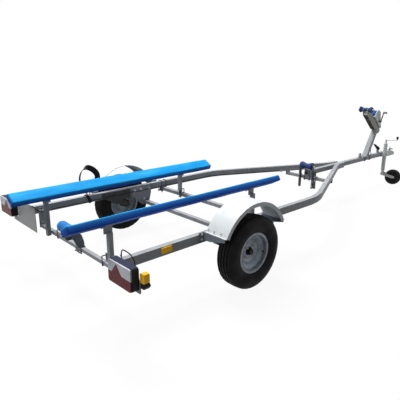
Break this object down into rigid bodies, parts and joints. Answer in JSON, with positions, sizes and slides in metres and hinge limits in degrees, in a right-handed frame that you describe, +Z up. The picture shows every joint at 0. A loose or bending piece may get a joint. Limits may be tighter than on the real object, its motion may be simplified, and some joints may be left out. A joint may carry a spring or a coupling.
{
  "type": "small boat trailer",
  "caption": "Single-axle boat trailer without brakes: galvanised A-frame, padded bunks, keel rollers, winch post, jockey wheel and tail lamps.",
  "frame": {"origin": "on the ground, on the centre line, 10 mm behind the axis of the two road wheels", "axes": "+X forward to the hitch, +Y to the left, +Z up"},
  "size_m": [5.124, 1.942, 1.051],
  "materials": {
    "galvanised": "matte zinc",
    "zinc_plate": "satin",
    "tyre": "matte",
    "rim_silver": "satin",
    "bunk_cover": "woven cover",
    "guard_sheet": "satin",
    "black_plastic": "matte",
    "lens": "gloss",
    "roller_blue": "satin",
    "roller_navy": "satin",
    "blue_webbing": "woven",
    "black_webbing": "woven",
    "cable_black": "matte",
    "wheel_rubber": "matte"
  },
  "bodies": {
    "frame": {"rails": "galvanised", "drawbar": "galvanised", "cross_tubes": "galvanised", "tube_hangers": "galvanised", "suspension_units": "galvanised", "suspension_arms": "galvanised", "bunk_posts": "galvanised", "bunk_cradles": "galvanised", "bunks": "bunk_cover", "clamp_bolts": "zinc_plate", "mudguards": "guard_sheet", "mudguard_arms": "galvanised", "lamp_plates": "galvanised", "lamp_bodies": "black_plastic", "lamp_lenses": "lens", "keel_brackets": "galvanised", "winch_post": "galvanised", "winch_arm": "galvanised", "winch_frame": "zinc_plate", "coupling_body": "zinc_plate", "jockey_clamp": "zinc_plate", "jockey_tube": "zinc_plate", "plug": "black_plastic", "plug_lead": "cable_black", "lamp_cable_left": "cable_black", "lamp_cable_right": "cable_black", "tie_strap": "black_webbing", "fittings": "galvanised"},
    "wheel_left": {"tyre_left": "tyre", "rim_left": "rim_silver", "hub_left": "galvanised"},
    "wheel_right": {"tyre_right": "tyre", "rim_right": "rim_silver", "hub_right": "galvanised"},
    "rear_roller": {"keel_roller_rear": "roller_blue"},
    "mid_roller": {"keel_roller_mid": "roller_navy"},
    "bow_roller": {"bow_roller": "roller_navy"},
    "winch_drum": {"winch_drum": "zinc_plate", "winch_strap": "blue_webbing"},
    "winch_crank": {"winch_crank": "zinc_plate"},
    "coupling_lever": {"coupling_lever": "zinc_plate"},
    "jockey_leg": {"jockey_leg": "zinc_plate"},
    "jockey_fork": {"jockey_fork": "zinc_plate"},
    "jockey_wheel": {"jockey_wheel": "wheel_rubber"},
    "jockey_crank": {"jockey_crank": "zinc_plate"}
  },
  "joints": [
    {"name": "wheel_left_spin", "type": "hinge", "parent": "frame", "child": "wheel_left", "pos_m": [0.01, 0.8, 0.261], "axis": [0, 1, 0], "continuous": true},
    {"name": "wheel_right_spin", "type": "hinge", "parent": "frame", "child": "wheel_right", "pos_m": [0.01, -0.8, 0.261], "axis": [0, 1, 0], "continuous": true},
    {"name": "rear_roller_spin", "type": "hinge", "parent": "frame", "child": "rear_roller", "pos_m": [-0.925, 0, 0.435], "axis": [0, 1, 0], "continuous": true},
    {"name": "mid_roller_spin", "type": "hinge", "parent": "frame", "child": "mid_roller", "pos_m": [1.87, 0, 0.475], "axis": [0, 1, 0], "continuous": true},
    {"name": "bow_roller_spin", "type": "hinge", "parent": "frame", "child": "bow_roller", "pos_m": [3.07, 0, 1.015], "axis": [0, 1, 0], "continuous": true},
    {"name": "winch_drum_spin", "type": "hinge", "parent": "frame", "child": "winch_drum", "pos_m": [3.33648, 0, 0.94133], "axis": [0, 1, 0], "continuous": true},
    {"name": "winch_crank_turn", "type": "hinge", "parent": "frame", "child": "winch_crank", "pos_m": [3.37076, 0, 0.85284], "axis": [0, 1, 0], "continuous": true},
    {"name": "coupling_lever_lift", "type": "hinge", "parent": "frame", "child": "coupling_lever", "pos_m": [3.835, 0, 0.436], "axis": [0, -1, 0], "range_deg": [0, 55]},
    {"name": "jockey_leg_slide", "type": "slide", "parent": "frame", "child": "jockey_leg", "axis": [0, 0, 1], "range_m": [-0.2, 0.025]},
    {"name": "jockey_fork_swivel", "type": "hinge", "parent": "jockey_leg", "child": "jockey_fork", "pos_m": [3.615, -0.056, 0.15], "axis": [0, 0, 1], "continuous": true},
    {"name": "jockey_wheel_spin", "type": "hinge", "parent": "jockey_fork", "child": "jockey_wheel", "pos_m": [3.67333, -0.17775, 0.1], "axis": [0.9018, 0.4321, 0], "continuous": true},
    {"name": "jockey_crank_turn", "type": "hinge", "parent": "frame", "child": "jockey_crank", "pos_m": [3.615, -0.056, 0.57], "axis": [0, 0, 1], "continuous": true}
  ],
  "couplings": [
    {"joint": "winch_crank_turn", "follows": "winch_drum_spin", "ratio": -4.5}
  ]
}
